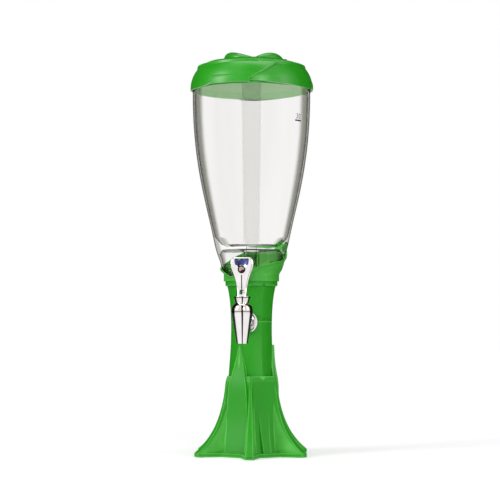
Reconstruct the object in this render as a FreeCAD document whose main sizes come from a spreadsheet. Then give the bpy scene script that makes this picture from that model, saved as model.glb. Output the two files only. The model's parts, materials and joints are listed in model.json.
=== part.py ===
import FreeCAD, Part
import math
import os
import Sketcher

# Beer tower dispenser in millimetres. +Z is up, the tap faces -Y, and the origin is on the floor
# at the centre of the foot. Angles round the tower are counted from the tap towards +X.

os.makedirs("parts", exist_ok=True)
doc = FreeCAD.newDocument("BeerTower")

# Driving sizes, one line for each group of the tower from the floor up.
DIMENSIONS = {
    "foot_reach": 92.0, "foot_top_reach": 43.0, "foot_height": 110.0, "foot_wall": 3.0,
    "foot_turn": 11.0,
    "plinth_height": 6.3, "plinth_valley": 58.0, "panel_foot_apothem": 46.0, "panel_top_apothem": 37.4,
    "fin_tip_half_width": 5.8, "fin_top_half_width": 1.2, "panel_half_width": 17.0,
    "panel_top_half_width": 9.0, "panel_shoulder": 9.0,
    "rib_half_width": 6.6, "rim_width": 2.4, "rim_rise": 0.8, "strip_bevel": 1.2,
    "rib_rise": 5.0, "ledge_rise": 8.0, "ledge_step": 0.6, "leaf_height": 164.0,
    "leaf_foot_half_width": 20.0,
    "leaf_top_half_width": 0.8, "leaf_mid_half_width": 15.6, "leaf_proud": 1.6, "deck_height": 98.0,
    "deck_thickness": 4.0, "pad_radius": 5.0, "pad_height": 3.0, "pad_proud": 0.6, "pad_circle": 82.0,
    "stem_waist": 30.6, "stem_low_radius": 34.2, "stem_high_radius": 35.4, "stem_wall": 3.0,
    "facet_bulge": 0.5, "seam_height": 199.5, "sleeve_depth": 34.0, "sleeve_wall": 2.4,
    "slip_gap": 0.15,
    "screw_radius": 2.0, "screw_head_radius": 3.8, "screw_head_height": 2.4, "screw_length": 14.0,
    "screw_circle": 19.0, "boss_radius": 4.6,
    "neck_radius": 39.0, "neck_low": 250.0, "neck_high": 267.0, "cup_wall": 1.8, "cup_deck": 264.0,
    "cup_deck_thickness": 4.0, "petal_notch": 263.0, "petal_front": 279.0, "petal_side": 293.0,
    "petal_tip": 322.0, "petal_back": 306.0, "petal_left": 286.0, "notch_angle": -29.0,
    "tip_angle": 137.0,
    "vessel_radius": 88.6, "vessel_low_radius": 51.4, "vessel_low": 300.0, "vessel_top": 553.0,
    "vessel_mid_radius": 73.7, "vessel_mid": 396.0, "vessel_knee_radius": 43.2, "vessel_knee": 276.0,
    "vessel_hip_radius": 47.1, "vessel_hip": 288.0, "vessel_calf_radius": 57.4, "vessel_calf": 324.0,
    "vessel_chest_radius": 85.0, "vessel_chest": 468.0, "vessel_brim": 540.0,
    "vessel_skirt_radius": 38.6, "vessel_wall": 2.8,
    "floor_rise": 10.0, "floor_radius": 36.0, "floor_thickness": 4.0, "gasket_thickness": 2.0,
    "spigot_radius": 12.0, "spigot_bore": 8.0, "spigot_end": 240.0, "barb_radius": 9.6,
    "nut_radius": 18.0, "nut_height": 8.0, "hose_wall": 2.4, "hose_end": 222.0, "clip_wire": 1.0,
    "shank_height": 198.0, "shank_radius": 8.0, "shank_bore": 5.0, "shank_end": 4.0, "tap_reach": 60.0,
    "elbow_wall": 3.0, "elbow_top": 236.0, "elbow_back": 11.0, "loose_gap": 0.1,
    "shank_nut_radius": 14.0, "shank_nut_height": 5.0,
    "washer_radius": 13.5, "washer_thickness": 2.0, "flange_radius": 16.4, "flange_thickness": 3.0,
    "body_top": 212.5, "body_top_radius": 15.4, "nozzle_bottom": 166.7, "nozzle_radius": 8.3,
    "nozzle_bore": 5.6, "seat_rise": 17.3, "cup_height": 6.0,
    "bonnet_top": 225.9, "bonnet_radius": 15.6, "bonnet_wall": 2.4, "collar_top": 235.2,
    "collar_radius": 12.4, "collar_waist": 9.8, "valve_rod_radius": 2.6,
    "pin_radius": 1.5, "pin_rise": 5.0, "pin_length": 13.0, "run_gap": 0.05, "cam_gap": 0.3,
    "cam_reach": 7.0,
    "lever_top": 292.5, "lever_head_width": 34.8, "lever_head_depth": 9.0, "lever_waist_width": 15.8,
    "lever_waist_depth": 8.0, "lever_head_height": 280.0, "badge_radius": 6.0, "badge_height": 275.0,
    "spring_wire": 0.9, "spring_radius": 6.2, "spring_turns": 6.0,
    "lid_radius": 93.0, "lid_rim": 551.0, "petal_start": 11.0,     "lid_wall": 2.0, "crown_fall": 4.8, "plug_gap": 0.6, "tab_thickness": 2.9, "petal_root": 0.9, "ribbon_root": 7.0, "brim_lift": 1.5, "brim_gap": 0.5, "seal_band": 1.6,     "lid_plug_wall": 2.0, "lid_plug_depth": 8.0, "seal_thickness": 2.0,
    "tube_top_radius": 15.3, "tube_low_radius": 12.2, "tube_wall": 1.8, "tube_rest": 3.0,
    "tube_socket_wall": 3.0, "tube_socket_depth": 12.0, "tube_flange": 2.0,
}


class Size:
    """A length with the sheet formula that gives it, so that plain arithmetic also binds the model."""

    def __init__(self, value, formula):
        self.value = value
        self.formula = formula

    def __float__(self):
        return float(self.value)

    def __neg__(self):
        return Size(-self.value, "(-%s)" % self.formula)

    def __add__(self, other):
        return joined(self, other, "+", float(self) + float(other))

    def __radd__(self, other):
        return joined(other, self, "+", float(other) + float(self))

    def __sub__(self, other):
        return joined(self, other, "-", float(self) - float(other))

    def __rsub__(self, other):
        return joined(other, self, "-", float(other) - float(self))

    def __mul__(self, other):
        return joined(self, other, "*", float(self) * float(other))

    __rmul__ = __mul__

    def __truediv__(self, other):
        return joined(self, other, "/", float(self) / float(other))


def formula(number):
    return number.formula if isinstance(number, Size) else repr(float(number))


def joined(first, second, sign, value):
    return Size(value, "(%s %s %s)" % (formula(first), sign, formula(second)))


sheet = doc.addObject("Spreadsheet::Sheet", "Sizes")


class Sizes:
    """The sheet's sizes by name."""


dim = Sizes()
for row, (name, number) in enumerate(DIMENSIONS.items(), 1):
    sheet.set("A%d" % row, name)
    sheet.set("B%d" % row, repr(number))
    sheet.setAlias("B%d" % row, name)
    setattr(dim, name, Size(number, "Sizes." + name))
doc.recompute()

Vector = FreeCAD.Vector
UP = Vector(0, 0, 1)
FRONT = Vector(0, -1, 0)
ORIGIN = Vector(0, 0, 0)
SECTORS = 6
nodes = []


def keep(thing, label):
    """Marks a finished object as a sub-part with its own name."""
    thing.Label = label
    nodes.append(thing)
    return thing


def point(across, height):
    return Vector(float(across), 0, float(height))


def outline_sketch(body, name, points, role="XZ_Plane"):
    """A closed outline on an origin plane. A point is (across, height) or (across, height, radius):
    the third value makes the side that ends there an arc, bulging left of its travel if positive."""
    sketch = body.newObject("Sketcher::SketchObject", name)
    plane = [item for item in body.Origin.OriginFeatures if item.Role == role][0]
    sketch.AttachmentSupport = [(plane, "")]
    sketch.MapMode = "FlatFace"
    count = len(points)
    for index in range(count):
        start = Vector(float(points[index][0]), float(points[index][1]), 0)
        target = points[(index + 1) % count]
        end = Vector(float(target[0]), float(target[1]), 0)
        if len(target) == 3:
            sketch.addGeometry(arc_between(start, end, float(target[2])), False)
        else:
            sketch.addGeometry(Part.LineSegment(start, end), False)
    firsts = [start_index(sketch.Geometry[index], points[index]) for index in range(count)]
    for index in range(count):
        follower = (index + 1) % count
        sketch.addConstraint(
            Sketcher.Constraint("Coincident", index, 3 - firsts[index], follower, firsts[follower])
        )
    for index in range(count):
        for kind, number in zip(("DistanceX", "DistanceY"), points[index]):
            if abs(float(number)) < 1e-9:
                other_axis = -2 if kind == "DistanceX" else -1
                sketch.addConstraint(
                    Sketcher.Constraint("PointOnObject", index, firsts[index], other_axis)
                )
                continue
            made = sketch.addConstraint(
                Sketcher.Constraint(kind, -1, 1, index, firsts[index], float(number))
            )
            if isinstance(number, Size):
                sketch.setExpression("Constraints[%d]" % made, number.formula)
        target = points[(index + 1) % count]
        if len(target) == 3:
            made = sketch.addConstraint(Sketcher.Constraint("Radius", index, abs(float(target[2]))))
            if isinstance(target[2], Size):
                sketch.setExpression("Constraints[%d]" % made, "abs(%s)" % target[2].formula)
    return sketch


def start_index(shape, start):
    """Which end of a sketch line or arc lies at its starting corner."""
    here = Vector(float(start[0]), float(start[1]), 0)
    return 1 if shape.StartPoint.distanceToPoint(here) < 1e-6 else 2


def arc_between(start, end, radius):
    """The short arc of this radius between two points, bulging left of the travel if positive."""
    middle = (start + end) * 0.5
    chord = end - start
    reach = max(abs(radius), chord.Length / 2 + 1e-6)
    side = 1 if radius > 0 else -1
    left = Vector(-chord.y, chord.x, 0).normalize()
    depth = math.sqrt(reach**2 - (chord.Length / 2) ** 2)
    centre = middle - left * (side * depth)
    circle = Part.Circle(centre, UP, reach)
    first = circle.parameter(start)
    last = circle.parameter(end)
    if side > 0:
        first, last = last, first
    if last < first:
        last += 2 * math.pi
    return Part.ArcOfCircle(circle, first, last)


def turned_body(name, points):
    """A PartDesign body turned round the tower's axis from one outline."""
    body = doc.addObject("PartDesign::Body", name)
    sketch = outline_sketch(body, name + "_outline", points)
    doc.recompute()
    turn = body.newObject("PartDesign::Revolution", name + "_turned")
    turn.Profile = sketch
    turn.ReferenceAxis = (sketch, ["V_Axis"])
    turn.Angle = 360
    doc.recompute()
    return body


def feature(name, shape):
    """A sub-part whose shape is made with Part's functions from the sheet's sizes."""
    thing = doc.addObject("Part::Feature", name)
    place = shape.Placement
    thing.Shape = shape
    thing.Placement = place
    return keep(thing, name)


def cylinder(radius, height, base, axis=UP):
    return Part.makeCylinder(float(radius), float(height), base, axis)


def turned_shape(points):
    """A solid turned round the tower's axis from corners given as (across, height)."""
    corners = [point(*pair) for pair in points]
    wire = Part.makePolygon(corners + [corners[0]])
    return Part.Face(wire).revolve(ORIGIN, UP, 360)


def around(angle, radius, height):
    """A place at an angle round the tower, counted from the tap towards +X."""
    turn = math.radians(angle)
    return Vector(float(radius) * math.sin(turn), -float(radius) * math.cos(turn), float(height))


def tidy(shape):
    """One clean solid out of a boolean's result."""
    clean = shape.removeSplitter()
    return clean.Solids[0] if len(clean.Solids) == 1 else clean


# Shapes that several pieces share
stem_turn = dim.foot_turn + 30
deck_top = dim.deck_height + dim.deck_thickness
cup_deck_top = dim.cup_deck + dim.cup_deck_thickness
skirt_bottom = cup_deck_top + dim.gasket_thickness
stem_bore = dim.stem_waist * 0.93 - dim.stem_wall
sleeve_radius = stem_bore - dim.slip_gap
sleeve_bore = sleeve_radius - dim.sleeve_wall
tap_place = Vector(0, -float(dim.tap_reach), 0)
seat_height = dim.nozzle_bottom + dim.seat_rise
floor_height = dim.vessel_low + dim.floor_rise


def stem_section(height, radius):
    """Six gently bulging facets, with their edges in line with the middles of the foot's panels."""
    edges = []
    bulge = float(dim.facet_bulge)
    middle = float(radius) * (math.cos(math.radians(30)) * (1 - bulge) + bulge)
    for side in range(SECTORS):
        first = float(stem_turn) + 60 * side
        ends = [around(first + turn, radius, height) for turn in (0, 60)]
        edges.append(Part.Arc(ends[0], around(first + 30, middle, height), ends[1]).toShape())
    return Part.Wire(edges)


def stem_outline(extra=0.0):
    """The stem's outer form from the foot's deck to under the cup's neck, grown by extra."""
    waist = (dim.seam_height + dim.shank_height) / 2
    neck = dim.neck_low + 2
    stations = (
        (deck_top, dim.stem_low_radius),
        (dim.foot_height + dim.ledge_rise, dim.stem_low_radius),
        ((dim.foot_height + waist) / 2, dim.stem_waist + 1),
        (waist, dim.stem_waist),
        ((waist + neck) / 2, dim.stem_waist + 1.4),
        (neck, dim.stem_high_radius + 1),
    )
    wires = [stem_section(height, radius + extra) for height, radius in stations]
    return Part.makeLoft(wires, True, False)


def slab(low, high):
    """A wide block between two heights, to cut a form to length."""
    reach = 400
    return Part.makeBox(reach, reach, float(high - low), Vector(-reach / 2, -reach / 2, float(low)))


def flare(height):
    """How far the fins have swept out: 0 at the foot's top and 1 at the plinth, like a trumpet."""
    fall = float((dim.foot_height - height) / (dim.foot_height - dim.plinth_height))
    return 0.12 * fall + 0.55 * fall**2 + 0.33 * fall**5


def between(first, last, share):
    return float(first) + (float(last) - float(first)) * share


def foot_section(height, inset=0.0, valley=None):
    """The six-finned outline at a height, drawn in by inset for the inside of the wall."""
    share = flare(height)
    fall = float((dim.foot_height - height) / (dim.foot_height - dim.plinth_height))
    reach = between(dim.foot_top_reach, dim.foot_reach, share) - 1.4 * inset
    tip = max(between(dim.fin_top_half_width, dim.fin_tip_half_width, fall) - 0.6 * inset, 0.8)
    apothem = between(dim.panel_top_apothem, dim.panel_foot_apothem, share) if valley is None else valley
    shoulder = min(float((dim.foot_height - height) / dim.panel_shoulder), 1)
    half = between(dim.panel_top_half_width, dim.panel_half_width, shoulder) - 0.5 * inset
    corners = []
    for fin in range(SECTORS):
        angle = float(dim.foot_turn) + 60 * fin
        spread = math.degrees(math.atan2(tip, reach))
        far = math.hypot(tip, reach)
        corners += [around(angle + turn, far, height) for turn in (-spread, spread)]
        spread = math.degrees(math.atan2(half, float(apothem) - inset))
        far = math.hypot(half, float(apothem) - inset)
        corners += [around(angle + 30 + turn, far, height) for turn in (-spread, spread)]
    return Part.makePolygon(corners + [corners[0]])


def foot_form(inset, low, high, steps=6):
    """The flared body of the foot between two heights."""
    brow = high - dim.panel_shoulder
    heights = [low + (brow - low) * (step / steps) for step in range(steps + 1)] + [high]
    return Part.makeLoft([foot_section(height, inset) for height in heights], True, False)


def face_strip(angle, stations, rim=0.0):
    """A raised strip on one face of the foot, with a rim along its sides that stands rim higher.
    A station is (height, half width, from axis, to axis)."""
    wires = []
    for height, half, near, far in stations:
        bevel = float(dim.strip_bevel)
        lip = float(half) - min(float(dim.rim_width), float(half) / 2)
        side = [(float(half) + bevel, near), (half, far + rim), (lip, far)]
        corners = [(-across, out) for across, out in side] + side[::-1]
        places = [
            around(angle + math.degrees(math.atan2(float(across), float(out))),
                   math.hypot(float(across), float(out)), height)
            for across, out in corners
        ]
        wires.append(Part.makePolygon(places + [places[0]]))
    return Part.makeLoft(wires, True, False)


def foot_apothem(height):
    return between(dim.panel_top_apothem, dim.panel_foot_apothem, flare(height))


# Foot: a hollow flared shell with six fins on a plinth, three leaves that climb the stem, three ribs
def make_foot():
    top = dim.foot_height
    plinth_wire = foot_section(dim.plinth_height, 0.0, dim.plinth_valley)
    plinth_wire.translate(Vector(0, 0, float(dim.pad_proud - dim.plinth_height)))
    plinth = Part.Face(plinth_wire).extrude(UP * float(dim.plinth_height - dim.pad_proud))
    ledge_top = foot_section(top)
    ledge_top.scale(float((dim.stem_low_radius + dim.ledge_step) / dim.panel_top_apothem))
    ledge_top.translate(Vector(0, 0, float(top + dim.ledge_rise) - ledge_top.BoundBox.ZMin))
    ledge = Part.makeLoft([foot_section(top), ledge_top], True, True)
    shell = foot_form(0.0, dim.plinth_height, top).fuse([plinth, ledge])
    for face in range(SECTORS):
        angle = float(dim.foot_turn) + 30 + 60 * face
        if face % 2:
            ledge_height = top + dim.ledge_rise
            proud = dim.leaf_proud
            stations = [
                (dim.plinth_height - 1, dim.leaf_foot_half_width, 40, foot_apothem(dim.plinth_height) + proud),
                (top * 0.35, dim.leaf_foot_half_width * 0.96, 36, foot_apothem(top * 0.35) + proud),
                (top * 0.7, dim.leaf_mid_half_width + 1.6, 34, foot_apothem(top * 0.7) + proud),
                (top, dim.leaf_mid_half_width - 2, 33, foot_apothem(top) + proud),
                (ledge_height + 8, dim.leaf_mid_half_width - 6, 31, dim.stem_low_radius + proud + 0.6),
                (ledge_height + 24, dim.leaf_mid_half_width - 10, 29, dim.stem_waist + proud + 2.2),
                (dim.leaf_height, dim.leaf_top_half_width, 28, dim.stem_waist + proud + 0.8),
            ]
            shell = shell.fuse(face_strip(angle, stations, dim.rim_rise))
        else:
            foot = dim.plinth_height - 1
            stations = [
                (foot, dim.rib_half_width, 38, foot_apothem(foot) + dim.rib_rise),
                (top * 0.35, dim.rib_half_width * 1.15, 36, foot_apothem(top * 0.35) + dim.rib_rise * 0.4),
                (top * 0.55, dim.rib_half_width * 1.3, 34, foot_apothem(top * 0.55) + dim.rib_rise * 0.1),
                (top * 0.7, dim.rib_half_width * 1.4, 34, foot_apothem(top * 0.7) - 0.4),
            ]
            shell = shell.fuse(face_strip(angle, stations))
    inside = foot_form(float(dim.foot_wall), dim.plinth_height, dim.deck_height, 5)
    mouth_wire = foot_section(dim.plinth_height, float(dim.foot_wall), dim.panel_foot_apothem)
    mouth_wire.translate(Vector(0, 0, -float(dim.plinth_height) - 1))
    mouth = Part.Face(mouth_wire).extrude(UP * float(dim.plinth_height + 1))
    socket = stem_outline(dim.slip_gap).common(slab(deck_top, dim.leaf_height + 10))
    shell = shell.cut([inside, mouth, socket])
    hole = stem_bore - 6
    shell = shell.cut(cylinder(float(hole) / 2, 20, Vector(0, 0, float(dim.deck_height) - 5)))
    for screw in range(3):
        place = around(float(stem_turn) + 120 * screw, dim.screw_circle, dim.deck_height - 5)
        shell = shell.cut(cylinder(dim.screw_radius + dim.loose_gap, 20, place))
    for fin in range(SECTORS):
        place = around(float(dim.foot_turn) + 60 * fin, dim.pad_circle, 0)
        shell = shell.cut(cylinder(dim.pad_radius + dim.loose_gap, float(dim.pad_height), place))
    return tidy(shell)


foot = feature("foot", make_foot())

# Foot pads: rubber discs set in pockets under the fins
pads = []
for fin in range(SECTORS):
    place = around(float(dim.foot_turn) + 60 * fin, dim.pad_circle, 0)
    pads.append(cylinder(dim.pad_radius, dim.pad_height, place))
foot_pads = feature("foot_pads", Part.makeCompound(pads))


# Lower stem: faceted tube on a web with three screw bosses, notched at the top for the tap's shank
def make_lower_stem():
    outer = stem_outline().common(slab(deck_top, dim.seam_height))
    web_top = deck_top + dim.stem_wall
    stem = outer.cut(cylinder(stem_bore, dim.seam_height - web_top + 1, Vector(0, 0, float(web_top))))
    for screw in range(3):
        angle = float(stem_turn) + 120 * screw
        boss = cylinder(dim.boss_radius, dim.screw_length, around(angle, dim.screw_circle, deck_top))
        stem = stem.fuse(boss)
        pilot = around(angle, dim.screw_circle, deck_top - 1)
        stem = stem.cut(cylinder(dim.screw_radius, dim.screw_length - 1, pilot))
    notch = dim.shank_radius + dim.loose_gap
    low = Vector(0, 0, float(dim.shank_height))
    stem = stem.cut(cylinder(notch, 60, low, FRONT))
    above = Part.makeBox(float(2 * notch), 60, 20, Vector(-float(notch), -60, float(dim.shank_height)))
    return tidy(stem.cut(above))


lower_stem = feature("lower_stem", make_lower_stem())

# Stem screws: pan heads under the foot's deck
screw_group = []
for screw in range(3):
    base = around(float(stem_turn) + 120 * screw, dim.screw_circle, dim.deck_height)
    head = cylinder(dim.screw_head_radius, dim.screw_head_height,
                    base - UP * float(dim.screw_head_height))
    rod = cylinder(dim.screw_radius - dim.run_gap, dim.deck_thickness + dim.screw_length - 3, base)
    screw_group.append(head.fuse(rod).removeSplitter().Solids[0])
stem_screws = feature("stem_screws", Part.makeCompound(screw_group))

# Outer line of the vessel, from the bottom of its skirt to its rim
VESSEL_LINE = (
    (dim.vessel_skirt_radius, skirt_bottom),
    (dim.vessel_knee_radius, dim.vessel_knee),
    (dim.vessel_hip_radius, dim.vessel_hip),
    (dim.vessel_low_radius, dim.vessel_low),
    (dim.vessel_calf_radius, dim.vessel_calf),
    (dim.vessel_mid_radius, dim.vessel_mid),
    (dim.vessel_chest_radius, dim.vessel_chest),
    (dim.vessel_radius, dim.vessel_brim),
    (dim.vessel_radius, dim.vessel_top),
)


def curve_through(places):
    line = Part.BSplineCurve()
    line.interpolate([point(*place) for place in places])
    return line.toShape()


def line_through(places):
    return Part.makePolygon([point(*place) for place in places]).Edges


def turned_face(edges):
    return Part.Face(Part.Wire(edges)).revolve(ORIGIN, UP, 360)


def grown(line, extra):
    return [(across + extra, height) for across, height in line]


def petal_cutter(places, inner, outer, top):
    """What lies above one petal's edge: a ruled fan through (angle, height) places, raised to top."""
    rims = []
    for reach in (inner, outer):
        line = Part.BSplineCurve()
        line.interpolate([around(angle, reach, height) for angle, height in places])
        rims.append(line.toShape())
    fan = Part.makeRuledSurface(rims[0], rims[1])
    return fan.extrude(UP * float(top))


# Leaf cup: faceted upper stem, neck band and a cup whose rim is one long petal with a pointed tip
def make_leaf_cup():
    outside = grown(VESSEL_LINE, dim.cup_wall + dim.slip_gap)
    top = dim.petal_tip + dim.cup_wall
    hip = outside[0][0]
    band = [(0, dim.neck_low), (dim.neck_radius, dim.neck_low + 2), (dim.neck_radius, dim.neck_high),
            (hip, skirt_bottom), (hip - 0.5, skirt_bottom + 2), (0, skirt_bottom + 2)]
    shell = turned_face(
        [curve_through(outside)]
        + line_through([outside[-1], (0, dim.vessel_top), (0, skirt_bottom), outside[0]])
    ).common(slab(skirt_bottom, top))
    shell = shell.fuse(turned_shape(band))
    shell = shell.fuse(stem_outline().common(slab(dim.seam_height, dim.neck_low + 2)))
    seat = grown(VESSEL_LINE, dim.slip_gap)
    skirt_room = dim.vessel_skirt_radius + dim.slip_gap
    cup_room = turned_face(
        line_through([(0, cup_deck_top), (skirt_room, cup_deck_top), seat[0]]) + [curve_through(seat)]
        + line_through([seat[-1], (0, dim.vessel_top), (0, cup_deck_top)])
    )
    neck_bore = dim.neck_radius - dim.stem_wall
    stem_room = turned_shape([
        (0, dim.seam_height - 1), (stem_bore, dim.seam_height - 1), (stem_bore, dim.neck_low - 2),
        (neck_bore, dim.neck_low + 6), (neck_bore, dim.cup_deck), (0, dim.cup_deck),
    ])
    shell = shell.cut([cup_room, stem_room])
    shell = shell.cut(cylinder(dim.spigot_radius + dim.loose_gap, 40, Vector(0, 0, float(dim.cup_deck) - 20)))
    sleeve_low = dim.seam_height - dim.sleeve_depth
    sleeve_top = dim.seam_height + 8
    sleeve = turned_shape([
        (sleeve_bore, sleeve_low), (sleeve_radius, sleeve_low), (sleeve_radius, dim.seam_height),
        (stem_bore + 0.5, dim.seam_height), (stem_bore + 0.5, sleeve_top + 6), (sleeve_bore, sleeve_top),
    ])
    shell = shell.fuse(sleeve)
    shank = cylinder(dim.shank_radius + dim.loose_gap, 60, Vector(0, 0, float(dim.shank_height)), FRONT)
    shell = shell.cut(shank)
    overlap = 3
    rising = [
        (dim.notch_angle - overlap, dim.petal_notch + 5), (dim.notch_angle, dim.petal_notch),
        (dim.notch_angle + 16, dim.petal_notch + 9),
        (13, dim.petal_front), (50, dim.petal_side - 6), (96, dim.petal_side),
        (dim.tip_angle - 16, dim.petal_side + 9), (dim.tip_angle, dim.petal_tip),
        (dim.tip_angle + overlap, dim.petal_tip + 6),
    ]
    falling = [
        (dim.tip_angle - overlap, dim.petal_tip + 3), (dim.tip_angle, dim.petal_tip), (dim.tip_angle + 14, dim.petal_tip - 9),
        (200, dim.petal_back), (240, dim.petal_left + 3), (dim.notch_angle + 310, dim.petal_left - 5),
        (dim.notch_angle + 344, dim.petal_notch + 12), (dim.notch_angle + 360, dim.petal_notch),
    ]
    for edge in (falling, rising):
        shell = shell.cut(petal_cutter(edge, dim.vessel_skirt_radius - 8, dim.neck_radius * 2, 80))
    return tidy(shell)


leaf_cup = feature("leaf_cup", make_leaf_cup())


# Vessel: clear tapered wall, dished floor, skirt and outlet spigot with a hose barb
def make_vessel():
    wall = dim.vessel_wall
    cavity = grown(VESSEL_LINE[4:], -wall)
    hollow = grown(VESSEL_LINE[:4], -wall)
    floor_under = floor_height - dim.floor_thickness
    barb_top = dim.cup_deck - dim.nut_height
    outer = curve_through(VESSEL_LINE)
    rim = line_through([VESSEL_LINE[-1], cavity[-1]])
    inner = curve_through(cavity)
    bowl = line_through([cavity[0], (dim.floor_radius + 9, floor_height + 3),
                         (dim.floor_radius, floor_height), (dim.spigot_bore, floor_height),
                         (dim.spigot_bore, dim.spigot_end), (dim.barb_radius - 0.8, dim.spigot_end),
                         (dim.barb_radius, dim.spigot_end + 3), (dim.barb_radius, barb_top),
                         (dim.spigot_radius, barb_top), (dim.spigot_radius, floor_under),
                         (hollow[-1][0] - 4, floor_under), hollow[-1]])
    under = curve_through(hollow)
    foot_ring = line_through([hollow[0], VESSEL_LINE[0]])
    return turned_face([outer] + rim + [inner] + bowl + [under] + foot_ring)


vessel = feature("vessel", make_vessel())

# Vessel gasket: flat ring between the cup's deck and the skirt
gasket_inner = dim.vessel_skirt_radius - dim.vessel_wall
keep(turned_body("VesselGasket", [
    (gasket_inner, cup_deck_top), (dim.vessel_skirt_radius, cup_deck_top),
    (dim.vessel_skirt_radius, skirt_bottom), (gasket_inner, skirt_bottom),
]), "vessel_gasket")


def hexagon(radius, height, base, axis=UP):
    """A nut's outside: a six-sided prism from a corner radius."""
    corners = [around(60 * side, radius, 0) for side in range(SECTORS)]
    prism = Part.Face(Part.makePolygon(corners + [corners[0]])).extrude(UP * float(height))
    prism.Placement = FreeCAD.Placement(base, FreeCAD.Rotation(UP, axis))
    return prism


# Vessel nut: on the spigot, under the cup's deck
nut_base = Vector(0, 0, float(dim.cup_deck - dim.nut_height))
vessel_nut = feature("vessel_nut", hexagon(dim.nut_radius, dim.nut_height, nut_base).cut(
    cylinder(dim.spigot_radius + dim.loose_gap, dim.nut_height, nut_base)))

# Drain hose: soft tube from the spigot's barb to the elbow's barb
hose_bore = dim.barb_radius + dim.loose_gap
hose_top = dim.cup_deck - dim.nut_height - dim.loose_gap * 3
keep(turned_body("DrainHose", [
    (hose_bore, dim.hose_end), (hose_bore + dim.hose_wall, dim.hose_end),
    (hose_bore + dim.hose_wall, hose_top), (hose_bore, hose_top),
]), "drain_hose")

# Hose clips: one wire ring over each barb
clip_bore = hose_bore + dim.hose_wall + dim.loose_gap
clips = []
for height in (dim.spigot_end + 7, dim.elbow_top - 7):
    clips.append(turned_shape([
        (clip_bore, height - dim.clip_wire), (clip_bore + dim.clip_wire, height - dim.clip_wire),
        (clip_bore + dim.clip_wire, height + dim.clip_wire), (clip_bore, height + dim.clip_wire),
    ]))
hose_clips = feature("hose_clips", Part.makeCompound(clips))


# Tap elbow: barb up into the hose, socket forward onto the shank
def make_elbow():
    height = dim.shank_height
    socket_radius = dim.shank_radius + dim.elbow_wall
    shank_face = dim.shank_end
    mouth = shank_face + 7
    across = Vector(0, float(dim.elbow_back), float(height))
    body = cylinder(socket_radius, dim.elbow_back + mouth, across, FRONT)
    body = body.fuse(cylinder(dim.barb_radius, dim.elbow_top - height, Vector(0, 0, float(height))))
    bore = dim.barb_radius - dim.elbow_wall + 0.8
    body = body.cut(cylinder(bore, 100, Vector(0, 0, float(height))))
    body = body.cut(cylinder(dim.shank_bore, dim.elbow_back, Vector(0, 0, float(height)), FRONT))
    start = Vector(0, -float(shank_face - dim.seal_thickness), float(height))
    return tidy(body.cut(cylinder(dim.shank_radius + dim.loose_gap, 20, start, FRONT)))


tap_elbow = feature("tap_elbow", make_elbow())


def ring_along_y(outer, inner, front, back):
    """A ring on the shank's axis between two distances in front of the tower's axis."""
    base = Vector(0, -float(back), float(dim.shank_height))
    return cylinder(outer, front - back, base, FRONT).cut(cylinder(inner, front - back, base, FRONT))


# Elbow seal: ring between the shank's end and the bottom of the socket
elbow_seal = feature("elbow_seal", ring_along_y(
    dim.shank_radius - 0.4, dim.shank_bore + 0.6, dim.shank_end - dim.loose_gap,
    dim.shank_end - dim.seal_thickness + dim.loose_gap))

# Rear washer: saddle that fits the sleeve's bore, and the nut that presses on it
rear_flat = dim.shank_radius * 2 + 0.5
nut_back = rear_flat - dim.shank_nut_height
shank_room = dim.shank_radius + dim.loose_gap
rear_washer = feature("rear_washer", ring_along_y(dim.washer_radius, shank_room, sleeve_bore + 2, rear_flat)
                      .common(cylinder(sleeve_bore - dim.loose_gap, 60, Vector(0, 0, float(dim.shank_height) - 30))))
nut_place = Vector(0, -float(nut_back), float(dim.shank_height))
shank_nut = feature("shank_nut", hexagon(dim.shank_nut_radius, dim.shank_nut_height, nut_place, FRONT).cut(
    cylinder(shank_room, dim.shank_nut_height, nut_place, FRONT)))

# Front washer: rubber saddle that fits the stem's facets, under the chrome flange
flange_back = dim.stem_waist + dim.washer_thickness / 2
flange_front = flange_back + dim.flange_thickness
front_washer = feature("front_washer", tidy(
    ring_along_y(dim.washer_radius, shank_room, flange_back, stem_bore - 4).cut(
        stem_outline(float(dim.loose_gap)).cut(slab(dim.foot_height - 40, dim.foot_height)))))


# Tap flange: dished chrome disc with a raised rim
def make_flange():
    rim = dim.flange_radius
    profile = [(shank_room, 0), (rim, 0), (rim, 1.2), (rim - 1.4, dim.flange_thickness),
               (rim - 3, dim.flange_thickness), (rim - 4.5, dim.flange_thickness / 2),
               (shank_room + 2.5, dim.flange_thickness / 2), (shank_room + 2, dim.flange_thickness),
               (shank_room, dim.flange_thickness)]
    disc = turned_shape(profile)
    disc.Placement = FreeCAD.Placement(
        Vector(0, -float(flange_back), float(dim.shank_height)), FreeCAD.Rotation(UP, FRONT))
    return disc


tap_flange = feature("tap_flange", make_flange())


def on_tap(shape):
    """Moves a shape turned round the tower's axis to the tap's own upright axis."""
    shape.translate(tap_place)
    return shape


# Tap body: cone with a valve seat over its nozzle, and the shank through the stem
chamber_radius = dim.nozzle_radius + 0.3


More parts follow.
